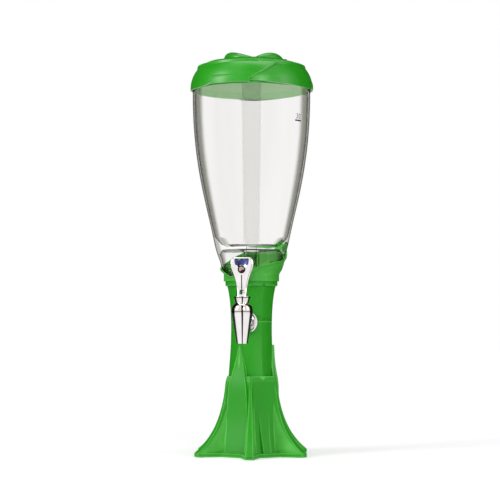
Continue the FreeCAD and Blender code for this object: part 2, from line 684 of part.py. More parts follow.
def make_tap_body():
    top = dim.body_top
    cone = turned_shape([
        (0, dim.nozzle_bottom), (dim.nozzle_radius, dim.nozzle_bottom),
        (dim.body_top_radius, top - 2), (dim.body_top_radius, top), (0, top),
    ])
    shank_root = dim.tap_reach - dim.body_top_radius
    collar_front = flange_front + 5.5
    collar = Vector(0, -float(flange_front), float(dim.shank_height))
    body = on_tap(cone)
    tail = Vector(0, -float(dim.shank_end), float(dim.shank_height))
    body = body.fuse([
        cylinder(dim.shank_radius, dim.tap_reach - dim.shank_end - 6, tail, FRONT),
        cylinder(dim.shank_radius + 3, collar_front - flange_front, collar, FRONT),
    ])
    bore = cylinder(dim.shank_bore, dim.tap_reach, ORIGIN + UP * float(dim.shank_height), FRONT)
    chamber = turned_shape([
        (0, dim.nozzle_bottom - 1), (dim.nozzle_bore, dim.nozzle_bottom - 1),
        (dim.nozzle_bore, seat_height), (chamber_radius, seat_height),
        (chamber_radius, top + 1), (0, top + 1),
    ])
    return tidy(body.cut([bore, on_tap(chamber)]))


tap_body = feature("tap_body", make_tap_body())

# Heights of the valve train
stem_flange = seat_height + dim.cup_height
ceiling = dim.bonnet_top - dim.bonnet_wall
pin_height = dim.collar_top + dim.pin_rise
rod_hole = dim.valve_rod_radius + dim.run_gap


def make_valve_stem():
    rod = dim.valve_rod_radius
    stem = turned_shape([
        (0, seat_height + 2), (rod + 1, seat_height + 2), (rod + 1, stem_flange),
        (dim.spring_radius + 1, stem_flange), (dim.spring_radius + 1, stem_flange + 1.6),
        (rod, stem_flange + 1.6), (rod, pin_height + 3), (rod - 0.8, pin_height + 3.8), (0, pin_height + 3.8),
    ])
    eye = cylinder(dim.pin_radius + dim.run_gap / 2, 40, Vector(-20, 0, float(pin_height)), Vector(1, 0, 0))
    return on_tap(stem.cut(eye))


valve_stem = feature("valve_stem", make_valve_stem())

# Seat cup: rubber cup on the stem's end, closed on the nozzle's seat
cup_hole = dim.valve_rod_radius + 1.05
seat_low = seat_height + 0.05
seat_cup = feature("seat_cup", on_tap(turned_shape([
    (0, seat_low), (chamber_radius - 1.4, seat_low), (chamber_radius - 0.8, seat_low + 1.5),
    (chamber_radius - 2, stem_flange - 0.05), (cup_hole, stem_flange - 0.05),
    (cup_hole, seat_height + 1.95), (0, seat_height + 1.95),
])))


# Tap spring: closing spring between the stem's flange and the bonnet's ceiling
def make_spring():
    wire = dim.spring_wire / 2
    low = stem_flange + 1.6 + wire + dim.loose_gap
    rise = float(ceiling - wire - dim.loose_gap - low)
    helix = Part.makeHelix(rise / float(dim.spring_turns), rise, float(dim.spring_radius - 1))
    start = Vector(float(dim.spring_radius - 1), 0, 0)
    ring = Part.Wire(Part.makeCircle(float(wire), start, Vector(0, 1, 0)))
    coil = Part.Wire(helix.Edges).makePipeShell([ring], True, True)
    coil.translate(Vector(0, 0, float(low)))
    return on_tap(coil)


tap_spring = feature("tap_spring", make_spring())

# Tap bonnet: chrome dome screwed into the body, guiding the valve stem
bonnet_skirt = chamber_radius - dim.loose_gap
tap_bonnet = turned_body("TapBonnet", [
    (bonnet_skirt, dim.body_top), (dim.bonnet_radius, dim.body_top), (dim.bonnet_radius, dim.body_top + 3),
    (dim.collar_waist, dim.bonnet_top, -(dim.bonnet_radius - 4)),
    (rod_hole, dim.bonnet_top), (rod_hole, ceiling), (bonnet_skirt - 1.4, ceiling),
    (bonnet_skirt - 1.4, dim.body_top - 5), (bonnet_skirt, dim.body_top - 5),
])
tap_bonnet.Placement = FreeCAD.Placement(tap_place, FreeCAD.Rotation())
tap_bonnet.setExpression("Placement.Base.y", "-Sizes.tap_reach")
keep(tap_bonnet, "tap_bonnet")

# Tap collar: flared ring that the lever's foot rocks on
collar_bore = rod_hole + 0.4
tap_collar = turned_body("TapCollar", [
    (collar_bore, dim.bonnet_top), (dim.collar_waist, dim.bonnet_top),
    (dim.collar_waist + 0.6, dim.bonnet_top + 2), (dim.collar_radius, dim.collar_top - 1.2),
    (dim.collar_radius, dim.collar_top), (collar_bore, dim.collar_top),
])
tap_collar.Placement = FreeCAD.Placement(tap_place, FreeCAD.Rotation())
tap_collar.setExpression("Placement.Base.y", "-Sizes.tap_reach")
keep(tap_collar, "tap_collar")

# Lever pin: across the lever's fork and through the valve stem's eye
pin_start = tap_place + Vector(-float(dim.pin_length) / 2, 0, float(pin_height))
lever_pin = feature("lever_pin", cylinder(dim.pin_radius, dim.pin_length, pin_start, Vector(1, 0, 0)))


# Lever: loft from the rocking foot up to a wide head with a scoop and a round dish
def make_lever():
    low = dim.collar_top + dim.cam_gap
    head = dim.lever_head_height
    waist = dim.lever_waist_width / 2
    wide = dim.lever_head_width / 2
    depth = dim.lever_head_depth / 2
    stations = (
        (low, waist, dim.cam_reach), (low + 3, waist - 0.3, dim.cam_reach - 0.6),
        (low + 9, waist - 0.2, dim.lever_waist_depth / 2), (between(low, head, 0.5), waist + 2, depth - 0.6),
        (between(low, head, 0.8), wide - 3, depth), (head, wide, depth),
        (between(head, dim.lever_top, 0.75), wide - 1.4, depth - 0.4), (dim.lever_top, wide - 4.5, depth - 2),
    )
    wires = []
    for height, across, deep in stations:
        across, deep = float(across), float(deep)
        corner = min(deep, across) * 0.6
        box = Part.makeBox(2 * across, 2 * deep, 1, Vector(-across, -deep, float(height)))
        upright = [edge for edge in box.Edges if abs(edge.tangentAt(edge.FirstParameter).z) > 0.9]
        rounded = box.makeFillet(corner, upright)
        face = min(rounded.Faces, key=lambda item: item.CenterOfMass.z)
        wires.append(face.OuterWire)
    lever = Part.makeLoft(wires, True, False)
    slot_width = float(2 * dim.valve_rod_radius + 0.3)
    slot_top = pin_height + 5
    slot = Part.makeBox(slot_width, 40, float(slot_top - low + 5),
                        Vector(-slot_width / 2, -float(dim.cam_reach) + 0.6, float(low) - 5))
    hole = cylinder(dim.pin_radius + dim.run_gap, 60, Vector(-30, 0, float(pin_height)), Vector(1, 0, 0))
    dish = Part.makeSphere(float(dim.badge_radius) * 1.6,
                           Vector(0, -float(depth) - float(dim.badge_radius) * 1.25, float(dim.badge_height)))
    scoop = Part.makeSphere(float(wide) * 1.2, Vector(0, -float(depth) - float(wide) * 1.12,
                                                       float(head + 4)))
    return on_tap(tidy(lever.cut([slot, hole, dish, scoop])))


tap_lever = feature("tap_lever", make_lever())

# Outer line of the lid's base under its petals, from the brim up: inset from the lid's radius and
# height over the brim.
LID_LINE = (
    (2.6, 0.0), (3.2, 4.0), (5.0, 10.5), (8.4, 17.5), (13.2, 24.0), (19.8, 29.0), (29.0, 32.2),
    (41.0, 34.2), (54.0, 35.6), (68.0, 36.2),
)
# One petal by its stations: turn from where it starts at the brim, share of the line where its lower
# edge lies, how far it stands over the base at that edge and at its top, and its drop under the brim.
PETAL_STATIONS = (
    (-124.0, 0.0, 0.6, 0.6, 1.0), (-112.0, 0.0, 1.0, 1.2, 2.6), (-94.0, 0.0, 1.4, 2.2, 4.8),
    (-74.0, 0.0, 1.5, 3.0, 6.4), (-54.0, 0.0, 1.6, 3.5, 6.8), (-42.0, 0.0, 1.7, 3.7, 4.6),
    (-34.0, 0.0, 1.7, 3.8, 1.8), (-18.0, 0.0, 1.7, 3.9, 1.2), (0.0, 0.02, 1.9, 4.0, 0.0),
    (12.0, 0.14, 3.2, 4.0, 0.0), (28.0, 0.30, 4.0, 3.9, 0.0), (48.0, 0.47, 4.1, 3.8, 0.0),
    (72.0, 0.64, 4.0, 3.7, 0.0), (100.0, 0.80, 3.8, 3.6, 0.0),
)
# A tab at the broad end of each petal: turn, and its outside as inset from the lid's radius and height
TAB_TURNS = (-38.0, -28.0, -18.0, -8.0, 0.5)
TAB_LINE = ((0.3, -4.6), (0.0, -1.5), (0.2, 3.0), (3.6, 10.0))
# Stations of a knob ribbon: turn, distance from the axis, height over the crown, half width, half height
RIBBON_STATIONS = (
    (0.0, 24.0, -1.0, 6.0, 4.0), (22.0, 28.0, 2.2, 7.6, 6.0), (45.0, 32.5, 5.0, 9.4, 7.6),
    (68.0, 36.0, 5.6, 10.2, 8.0), (92.0, 38.8, 3.6, 9.8, 7.0), (116.0, 41.5, 0.0, 8.0, 5.4),
    (136.0, 43.6, -3.4, 5.4, 3.6),
)
PETALS = 3
PETAL_POINTS = 8
RIBBON_POINTS = 7
PETAL_TOP = 0.9
lid_crown = dim.lid_rim + LID_LINE[-1][1]
lid_seat = dim.vessel_top + dim.seal_thickness
plug_radius = dim.vessel_radius - dim.vessel_wall - dim.plug_gap
socket_bore = dim.tube_top_radius + dim.loose_gap
lid_ceiling = lid_crown - dim.lid_wall - dim.crown_fall


def lid_base():
    """The base's outer line in the plane of X and Z."""
    line = Part.BSplineCurve()
    line.interpolate([point(dim.lid_radius - inset, dim.lid_rim + rise) for inset, rise in LID_LINE])
    return line


def off_base(base, share, extra):
    """A place at a share of the base's line, extra out from it."""
    place = base.parameterAtDistance(base.length() * share, base.FirstParameter)
    run = base.tangent(place)[0]
    return base.value(place) + Vector(run.z, 0, -run.x) * extra


def turned_to(angle, places):
    """Places in the plane of X and Z, turned to an angle round the tower."""
    return [around(angle, place.x, place.z) for place in places]


def band_section(top, low):
    """A closed outline of two smooth curves joined at their ends."""
    edges = []
    for places in (top, low):
        line = Part.BSplineCurve()
        line.interpolate(places)
        edges.append(line.toShape())
    first = Part.LineSegment(top[-1], low[-1]).toShape()
    last = Part.LineSegment(low[0], top[0]).toShape()
    return Part.Wire(Part.sortEdges([edges[0], first, edges[1], last])[0])


def make_petal():
    """One petal: its lower edge runs along the brim, then curls up over the next petal."""
    base = lid_base()
    wires = []
    for turn, start, low_rise, high_rise, drop in PETAL_STATIONS:
        top = []
        low = []
        for step in range(PETAL_POINTS):
            share = start + (PETAL_TOP - start) * step / (PETAL_POINTS - 1)
            swell = min(step / 3 if start else share * 2.5, 1)
            top.append(off_base(base, share, between(low_rise, high_rise, swell)))
            low.append(off_base(base, share, -float(dim.petal_root)))
        top[0] = top[0] - UP * drop
        low[0] = low[0] - UP * drop
        wires.append(band_section(turned_to(turn, top), turned_to(turn, low)))
    return Part.makeLoft(wires, True, False)


def make_tab():
    """The broad end of a petal, which hangs over the next one's start."""
    wires = []
    for turn in TAB_TURNS:
        top = [point(dim.lid_radius - inset, dim.lid_rim + rise) for inset, rise in TAB_LINE]
        low = [point(dim.lid_radius - dim.tab_thickness, dim.lid_rim + rise) for inset, rise in TAB_LINE]
        wires.append(band_section(turned_to(turn, top), turned_to(turn, low)))
    return Part.makeLoft(wires, True, False)


def make_ribbon():
    """One ribbon of the knob: it rises from the crown's middle, crests and runs out."""
    wires = []
    for turn, reach, rise, half_width, half_height in RIBBON_STATIONS:
        top = []
        for step in range(RIBBON_POINTS):
            swing = math.pi * (step / (RIBBON_POINTS - 1) - 0.5)
            top.append(point(reach + half_width * math.sin(swing),
                             lid_crown + rise + half_height * math.cos(swing)))
        low = [point(place.x, lid_crown - dim.ribbon_root) for place in top]
        wires.append(band_section(turned_to(turn, top), turned_to(turn, low)))
    return Part.makeLoft(wires, True, False)


# Lid: a cap with three petals that curl over each other, a knob of three ribbons, a plug and a socket
def make_lid():
    base = lid_base()
    first = base.value(base.FirstParameter)
    last = base.value(base.LastParameter)
    shell = turned_face(
        [base.toShape()]
        + line_through([(last.x, last.z), (0, last.z), (0, first.z), (first.x, first.z)])
    )
    shell = shell.cut(cylinder(dim.lid_radius, dim.brim_lift, Vector(0, 0, first.z)))
    for form in (make_petal(), make_tab(), make_ribbon()):
        form.rotate(ORIGIN, UP, float(dim.petal_start))
        for petal in range(PETALS):
            shell = shell.fuse(form)
            form = form.copy()
            form.rotate(ORIGIN, UP, 360 / PETALS)
    under = [off_base(base, share, -float(dim.lid_wall)) for share in (0.14, 0.2, 0.26, 0.32, 0.38)]
    brim_bore = dim.vessel_radius + dim.brim_gap
    hollow = turned_face(
        [curve_through([(place.x, place.z) for place in under])]
        + line_through([
            (under[-1].x, under[-1].z), (under[-1].x - 8, lid_ceiling), (0, lid_ceiling),
            (0, dim.lid_rim - 10), (brim_bore, dim.lid_rim - 10), (brim_bore, lid_seat),
            (under[0].x, under[0].z),
        ])
    )
    shell = shell.cut(hollow)
    plug_bore = plug_radius - dim.lid_plug_wall
    plug_low = dim.vessel_top - dim.lid_plug_depth
    seal_band = turned_shape([
        (plug_bore, plug_low), (plug_radius, plug_low), (plug_radius, lid_seat),
        (dim.vessel_radius, lid_seat), (dim.vessel_radius, lid_seat + dim.seal_band),
        (plug_bore + 3, lid_seat + dim.seal_band), (plug_bore - 2, lid_ceiling + 1),
        (plug_bore - 4, lid_ceiling + 1), (plug_bore, lid_seat),
    ])
    socket_wall = socket_bore + dim.tube_socket_wall
    socket_low = lid_ceiling - dim.tube_socket_depth
    socket = turned_shape([
        (socket_bore, socket_low), (socket_wall, socket_low), (socket_wall, lid_ceiling + 1),
        (socket_bore, lid_ceiling + 1),
    ])
    return tidy(shell.fuse([seal_band, socket]))


lid = feature("lid", make_lid())

# Lid seal: flat ring between the vessel's rim and the lid's shoulder
keep(turned_body("LidSeal", [
    (dim.vessel_radius - dim.vessel_wall, dim.vessel_top), (dim.vessel_radius, dim.vessel_top),
    (dim.vessel_radius, lid_seat), (dim.vessel_radius - dim.vessel_wall, lid_seat),
]), "lid_seal")

# Ice tube: tapered tube with a closed round end, screwed into the lid's socket
tube_end = floor_height + dim.tube_rest
tube_shoulder = lid_ceiling - dim.tube_socket_depth - dim.seal_thickness
flange_edge = socket_bore + dim.tube_socket_wall
keep(turned_body("IceTube", [
    (0, tube_end), (dim.tube_low_radius - 4, tube_end),
    (dim.tube_low_radius, tube_end + 4, 4.2),
    (dim.tube_top_radius, tube_shoulder - dim.tube_flange), (flange_edge, tube_shoulder - dim.tube_flange),
    (flange_edge, tube_shoulder), (dim.tube_top_radius, tube_shoulder),
    (dim.tube_top_radius, lid_ceiling - 1), (dim.tube_top_radius - dim.tube_wall, lid_ceiling - 1),
    (dim.tube_low_radius - dim.tube_wall, tube_end + 6), (dim.tube_low_radius - dim.tube_wall - 3, tube_end + 2.4),
    (0, tube_end + 2.4),
]), "ice_tube")

# Ice tube seal: ring between the tube's flange and the socket
keep(turned_body("IceTubeSeal", [
    (socket_bore, tube_shoulder), (flange_edge, tube_shoulder),
    (flange_edge, tube_shoulder + dim.seal_thickness), (socket_bore, tube_shoulder + dim.seal_thickness),
]), "ice_tube_seal")

# Every object is sound before anything is written
doc.recompute()
for thing in doc.Objects:
    if "Invalid" in thing.State or "Error" in thing.State:
        raise ValueError("%s failed" % thing.Label)
for node in nodes:
    shape = node.Shape
    if shape.isNull() or not shape.isValid():
        raise ValueError("%s has no sound shape" % node.Label)
    shape.exportStep("parts/%s.step" % node.Label)
    print(node.Label, len(shape.Solids), round(shape.Volume), [round(v, 1) for v in (
        shape.BoundBox.XMin, shape.BoundBox.YMin, shape.BoundBox.ZMin,
        shape.BoundBox.XMax, shape.BoundBox.YMax, shape.BoundBox.ZMax)])
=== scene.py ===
import bpy
import bmesh
import json
import math
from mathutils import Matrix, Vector
from mathutils.bvhtree import BVHTree


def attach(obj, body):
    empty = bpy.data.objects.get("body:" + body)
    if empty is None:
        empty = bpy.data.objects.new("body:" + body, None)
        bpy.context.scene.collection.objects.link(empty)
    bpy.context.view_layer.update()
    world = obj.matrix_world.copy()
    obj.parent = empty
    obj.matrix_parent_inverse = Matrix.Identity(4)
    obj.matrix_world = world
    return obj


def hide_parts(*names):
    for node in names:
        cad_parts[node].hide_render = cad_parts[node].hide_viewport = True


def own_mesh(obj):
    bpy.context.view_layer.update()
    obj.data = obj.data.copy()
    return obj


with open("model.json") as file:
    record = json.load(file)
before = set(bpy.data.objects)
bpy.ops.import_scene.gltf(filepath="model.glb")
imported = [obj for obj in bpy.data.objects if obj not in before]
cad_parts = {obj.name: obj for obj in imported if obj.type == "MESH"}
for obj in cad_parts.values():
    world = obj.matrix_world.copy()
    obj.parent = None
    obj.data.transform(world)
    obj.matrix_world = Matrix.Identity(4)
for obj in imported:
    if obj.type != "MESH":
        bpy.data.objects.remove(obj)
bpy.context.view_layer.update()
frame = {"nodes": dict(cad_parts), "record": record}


def new_object(name, data):
    thing = bpy.data.objects.new(name, data)
    bpy.context.scene.collection.objects.link(thing)
    return thing


def look_at(thing, place, aim):
    """Places a camera or lamp and turns it to a point."""
    thing.location = place
    thing.rotation_euler = (Vector(aim) - Vector(place)).to_track_quat("-Z", "Y").to_euler()


# Camera at the photograph's viewing angle, which sees the tap a little left of the middle
IMAGE_SIDE = 500
FOCAL_PIXELS = 1527
SENSOR_WIDTH = 36.0
CAMERA_FAR_END = 30
VIEW_AZIMUTH = math.radians(13)
TO_CAMERA = Vector((math.sin(VIEW_AZIMUTH), -math.cos(VIEW_AZIMUTH), 0))
TO_RIGHT = Vector((math.cos(VIEW_AZIMUTH), math.sin(VIEW_AZIMUTH), 0))
CAMERA_DISTANCE = 2.29
CAMERA_HEIGHT = 0.204
AIM_HEIGHT = 0.3060
AIM_LEFT = 0.0022


def make_camera():
    data = bpy.data.cameras.new("camera")
    data.sensor_width = SENSOR_WIDTH
    data.lens = FOCAL_PIXELS / IMAGE_SIDE * SENSOR_WIDTH
    data.clip_end = CAMERA_FAR_END
    camera = new_object("camera", data)
    look_at(camera, TO_CAMERA * CAMERA_DISTANCE + Vector((0, 0, CAMERA_HEIGHT)),
            TO_RIGHT * -AIM_LEFT + Vector((0, 0, AIM_HEIGHT)))
    bpy.context.scene.camera = camera


make_camera()
bpy.context.scene.view_settings.view_transform = "Standard"


# Helpers for shader and geometry nodes; each value may be a number, a colour or another socket
def feed(tree, value, socket):
    if isinstance(value, bpy.types.NodeSocket):
        tree.links.new(value, socket)
    else:
        socket.default_value = value


def add_node(tree, kind, **inputs):
    """A node with its named sockets fed."""
    node = tree.nodes.new(kind)
    for label, value in inputs.items():
        feed(tree, value, node.inputs[label.replace("_", " ")])
    return node


def operate(tree, kind, operation, values):
    node = tree.nodes.new(kind)
    node.operation = operation
    for socket, value in zip(node.inputs, values):
        feed(tree, value, socket)
    return node.outputs


def math_node(tree, operation, *values):
    return operate(tree, "ShaderNodeMath", operation, values)[0]


def vector_node(tree, operation, *values):
    return operate(tree, "ShaderNodeVectorMath", operation, values)


# Places of the colour sockets in a Mix node
MIX_SHARE, MIX_FIRST, MIX_SECOND, MIX_RESULT = 0, 6, 7, 2


def mix_colour(tree, share, first, second, blend="MIX"):
    node = tree.nodes.new("ShaderNodeMix")
    node.data_type = "RGBA"
    node.blend_type = blend
    for index, value in ((MIX_SHARE, share), (MIX_FIRST, first), (MIX_SECOND, second)):
        feed(tree, value, node.inputs[index])
    return node.outputs[MIX_RESULT]


def spread(tree, source, low, high, out_low=0.0, out_high=1.0):
    """Spreads the part of a value between low and high over another range, held at its ends."""
    return add_node(tree, "ShaderNodeMapRange", Value=source, From_Min=low, From_Max=high,
                    To_Min=out_low, To_Max=out_high).outputs[0]


def colour_ramp(tree, source, stops):
    """A colour along a ramp, from rising (position, colour) stops."""
    node = tree.nodes.new("ShaderNodeValToRGB")
    elements = node.color_ramp.elements
    while len(elements) < len(stops):
        elements.new(0.5)
    for element, (position, colour) in zip(elements, stops):
        element.position = position
        element.color = colour
    feed(tree, source, node.inputs[0])
    return node.outputs[0]


def grey(value):
    return (value, value, value, 1.0)


def grey_ramp(tree, source, stops):
    return colour_ramp(tree, source, [(position, grey(value)) for position, value in stops])


def object_place(tree):
    return tree.nodes.new("ShaderNodeTexCoord").outputs["Object"]


def noise_at(tree, place, scale, detail=3.0):
    return add_node(tree, "ShaderNodeTexNoise", Vector=place, Scale=scale,
                    Detail=detail).outputs["Fac"]


# Shared shader groups: moulded grain and painted edge highlight
def group_with(name, inputs, outputs):
    group = bpy.data.node_groups.new(name, "ShaderNodeTree")
    for label, start in inputs:
        socket = group.interface.new_socket(label, in_out="INPUT", socket_type="NodeSocketFloat")
        socket.default_value = start
    for label in outputs:
        group.interface.new_socket(label, in_out="OUTPUT", socket_type="NodeSocketFloat")
    given = group.nodes.new("NodeGroupInput").outputs
    return group, given, group.nodes.new("NodeGroupOutput").inputs


def make_grain_group():
    """Fine grain as a height, and broad faint clouding as a mask."""
    group, given, result = group_with(
        "moulded_grain",
        [("Grain Scale", 900.0), ("Cloud Scale", 18.0), ("Grain Share", 0.5)],
        ["Height", "Cloud"],
    )
    place = object_place(group)
    fine = noise_at(group, place, given["Grain Scale"], detail=2.0)
    broad = noise_at(group, place, given["Cloud Scale"])
    feed(group, math_node(group, "MULTIPLY", fine, given["Grain Share"]), result["Height"])
    feed(group, broad, result["Cloud"])
    return group


# Distance inside a piece at which another face is looked for, and the share of free rays where the
# painted edge highlight starts and is full
HIGHLIGHT_DEPTH = 0.0024
HIGHLIGHT_SPAN = (0.97, 0.70)
HIGHLIGHT_SAMPLES = 6
# Span of the noise that breaks the painted edge highlight up, and the least share of it that stays
HIGHLIGHT_PATCHES = (0.35, 0.65)
HIGHLIGHT_LEAST = 0.6


def make_edge_highlight_group():
    """Mask of edges and thin walls for a painted highlight, found from inside the piece and broken
    into patches.
    """
    group, given, result = group_with("edge_wear", [("Wear Scale", 60.0)], ["Edge"])
    thickness = add_node(group, "ShaderNodeAmbientOcclusion", Distance=HIGHLIGHT_DEPTH)
    thickness.inside = True
    thickness.only_local = True
    thickness.samples = HIGHLIGHT_SAMPLES
    edge = spread(group, thickness.outputs["AO"], *HIGHLIGHT_SPAN)
    patch = noise_at(group, object_place(group), given["Wear Scale"], detail=2.0)
    broken = spread(group, patch, *HIGHLIGHT_PATCHES, HIGHLIGHT_LEAST, 1.0)
    feed(group, math_node(group, "MULTIPLY", edge, broken), result["Edge"])
    return group


GRAIN = make_grain_group()
EDGE_HIGHLIGHT = make_edge_highlight_group()


def use_group(tree, group, **inputs):
    node = tree.nodes.new("ShaderNodeGroup")
    node.node_tree = group
    for label, value in inputs.items():
        feed(tree, value, node.inputs[label.replace("_", " ")])
    return node.outputs


def new_material(name, **sockets):
    material = bpy.data.materials.new(name)
    material.use_nodes = True
    tree = material.node_tree
    shader = tree.nodes["Principled BSDF"]
    for label, value in sockets.items():
        feed(tree, value, shader.inputs[label.replace("_", " ")])
    return material, tree, shader


def bump(tree, shader, height, strength, distance):
    node = add_node(tree, "ShaderNodeBump", Height=height, Strength=strength, Distance=distance)
    feed(tree, node.outputs["Normal"], shader.inputs["Normal"])


# Span of a noise that colours and polish vary over
NOISE_SPAN = (0.3, 0.7)
CLOUD_SCALE = 14.0
GRAIN_SHARE = 0.6
GRAIN_BUMP = (0.25, 0.0001)
HIGHLIGHT_SCALE = 45.0
DEEP_SHARE = 0.9
ROUGHNESS_FALL = 0.04
ROUGHNESS_RISE = 0.05
# How far a surface faces its middle point, in metres, where the inside colour starts and is full;
# that paler colour is painted light
INWARD_SPAN = (-0.005, -0.02)


def moulded_plastic(name, colour, highlight_colour, roughness, grain=700.0, inside=None, middle=None,
                    wear=0.5, **sockets):
    """Moulded surface with fine grain, faint clouding and painted highlights along its edges, and
    with a paler colour painted where it faces a middle point, standing in for the light that thin
    plastic lets through from behind."""
    material, tree, shader = new_material(name, **sockets)
    moulded = use_group(tree, GRAIN, Grain_Scale=grain, Cloud_Scale=CLOUD_SCALE,
                        Grain_Share=GRAIN_SHARE)
    lit_edges = use_group(tree, EDGE_HIGHLIGHT, Wear_Scale=HIGHLIGHT_SCALE)
    cloud = spread(tree, moulded["Cloud"], *NOISE_SPAN)
    deep = tuple(part * DEEP_SHARE for part in colour[:3]) + (1.0,)
    base = mix_colour(tree, cloud, deep, colour)
    # Painted light: a paler colour where the surface faces its middle point, standing in for light
    # through thin plastic
    if inside:
        place = tree.nodes.new("ShaderNodeTexCoord").outputs
        outward = vector_node(tree, "SUBTRACT", place["Object"], middle)["Vector"]
        facing = vector_node(tree, "DOT_PRODUCT", outward, place["Normal"])["Value"]
        base = mix_colour(tree, spread(tree, facing, *INWARD_SPAN), base, inside)
    # Painted highlight along edges and thin walls, mixed into the base colour
    edge = math_node(tree, "MULTIPLY", lit_edges["Edge"], wear)
    feed(tree, mix_colour(tree, edge, base, highlight_colour), shader.inputs["Base Color"])
    rough = spread(tree, moulded["Cloud"], *NOISE_SPAN, roughness - ROUGHNESS_FALL,
                   roughness + ROUGHNESS_RISE)
    feed(tree, rough, shader.inputs["Roughness"])
    bump(tree, shader, moulded["Height"], *GRAIN_BUMP)
    return material


# Slant at which a clear wall's pale face ends, its grey band starts and ends, its dark rim starts;
# band and rim are painted shade for the dark surroundings a wall shows when seen along its length
FACE_END, BAND_START, BAND_END, RIM_START = 0.45, 0.53, 0.70, 0.80
# Upright streaks of painted reflection in the clear tint: stretch and scale of their noise, which
# also varies the roughness
STREAK_STRETCH = (1.0, 1.0, 0.04)
STREAK_SCALE = 22.0
STREAK_SPAN = (0.38, 0.62)
STREAK_TINT = (0.965, 0.965, 0.96, 1.0)
CLEAR_ROUGHNESS = (0.01, 0.03)
RIPPLE_SCALE = 30.0
RIPPLE_BUMP = (0.04, 0.0002)


def clear_material(name, face, band, rim, bend):
    """Thin clear moulding: pale on the face, and greyer where the wall is seen along its length,
    which is painted shade.
    """
    material, tree, shader = new_material(name, Transmission_Weight=1.0, IOR=bend)
    place = object_place(tree)
    slant = add_node(tree, "ShaderNodeLayerWeight", Blend=0.5).outputs["Facing"]
    # Painted shade: grey band and near-black rim where the wall is seen edge-on
    walls = colour_ramp(tree, slant, [(0.0, face), (FACE_END, face), (BAND_START, band),
                                      (BAND_END, band), (RIM_START, rim)])
    upright = add_node(tree, "ShaderNodeMapping", Vector=place, Scale=STREAK_STRETCH)
    streak_noise = noise_at(tree, upright.outputs["Vector"], STREAK_SCALE, detail=2.0)
    streak = mix_colour(tree, spread(tree, streak_noise, *STREAK_SPAN), STREAK_TINT, grey(1.0))
    tint = mix_colour(tree, 1.0, walls, streak, "MULTIPLY")
    feed(tree, tint, shader.inputs["Base Color"])
    feed(tree, spread(tree, streak_noise, *NOISE_SPAN, *CLEAR_ROUGHNESS), shader.inputs["Roughness"])
    bump(tree, shader, noise_at(tree, place, RIPPLE_SCALE, detail=2.0), *RIPPLE_BUMP)
    return material


SWIRL_SCALE = 120.0
POLISH_SCALE = 60.0
POLISH_BUMP = (0.03, 0.0002)
# Black of the painted shadow line at a seam
SEAM_SHADOW = (0.012, 0.011, 0.011, 1.0)


def chrome_material(name, dark, light, smooth, rough, shadow_line=None):
    """Polished plate with faint swirls in its polish, and a painted shadow line at a seam between
    two heights.
    """
    material, tree, shader = new_material(name, Metallic=1.0)
    place = object_place(tree)
    swirl = noise_at(tree, place, SWIRL_SCALE, detail=4.0)
    tint = mix_colour(tree, spread(tree, swirl, *NOISE_SPAN), dark, light)
    # Painted shadow: a black band between two heights, where a seam's shade falls
    if shadow_line:
        height = add_node(tree, "ShaderNodeSeparateXYZ", Vector=place).outputs["Z"]
        above = math_node(tree, "GREATER_THAN", height, shadow_line[0])
        below = math_node(tree, "LESS_THAN", height, shadow_line[1])
        tint = mix_colour(tree, math_node(tree, "MULTIPLY", above, below), tint, SEAM_SHADOW)
    feed(tree, tint, shader.inputs["Base Color"])
    feed(tree, spread(tree, swirl, *NOISE_SPAN, smooth, rough), shader.inputs["Roughness"])
    bump(tree, shader, noise_at(tree, place, POLISH_SCALE, detail=2.0), *POLISH_BUMP)
    return material


GREEN = (0.022, 0.360, 0.010, 1.0)
# Colour of the painted highlight along the green mouldings' edges
HIGHLIGHT_GREEN = (0.15, 0.68, 0.11, 1.0)
# Paler greens painted on the lid's and cup's insides, standing in for light that comes through the
# thin plastic
LID_INSIDE_GREEN = (0.54, 0.74, 0.49, 1.0)
CUP_INSIDE_GREEN = (0.16, 0.72, 0.12, 1.0)
LID_MIDDLE = (0, 0, 0.50)
CUP_MIDDLE = (0, 0, 0.34)
# Heights of the painted shadow line under the bonnet, round the collar's rim and along the inlay's
# top
BONNET_SHADOW_LINE = (0.2126, 0.2136)
COLLAR_SHADOW_LINE = (0.2332, 0.2342)
INLAY_SHADOW_LINE = (0.2896, 0.2915)

# One finish for each material slot of the part
MATERIALS = {
    "green_plastic": moulded_plastic(
        "green_moulding", GREEN, HIGHLIGHT_GREEN, roughness=0.40, wear=0.7, Specular_IOR_Level=0.28),
    "clear_plastic": clear_material(
        "clear_moulding", face=(0.955, 0.952, 0.948, 1.0), band=(0.52, 0.52, 0.49, 1.0),
        rim=(0.06, 0.06, 0.055, 1.0), bend=1.03),
    "chrome": chrome_material(
        "chrome_plate", dark=(0.84, 0.81, 0.80, 1.0), light=(0.93, 0.91, 0.90, 1.0),
        smooth=0.03, rough=0.06),
    "steel": moulded_plastic(
        "plain_steel", (0.45, 0.45, 0.46, 1.0), (0.7, 0.7, 0.71, 1.0), roughness=0.3,
        grain=400.0, Metallic=1.0),
    "rubber": moulded_plastic(
        "black_rubber", grey(0.02), grey(0.05), roughness=0.62, grain=900.0),
    "hose_silicone": moulded_plastic(
        "milky_silicone", (0.72, 0.72, 0.69, 1.0), (0.8, 0.8, 0.78, 1.0), roughness=0.4,
        grain=500.0),
    "white_plastic": moulded_plastic(
        "white_moulding", (0.78, 0.78, 0.75, 1.0), (0.86, 0.86, 0.84, 1.0), roughness=0.4),
}
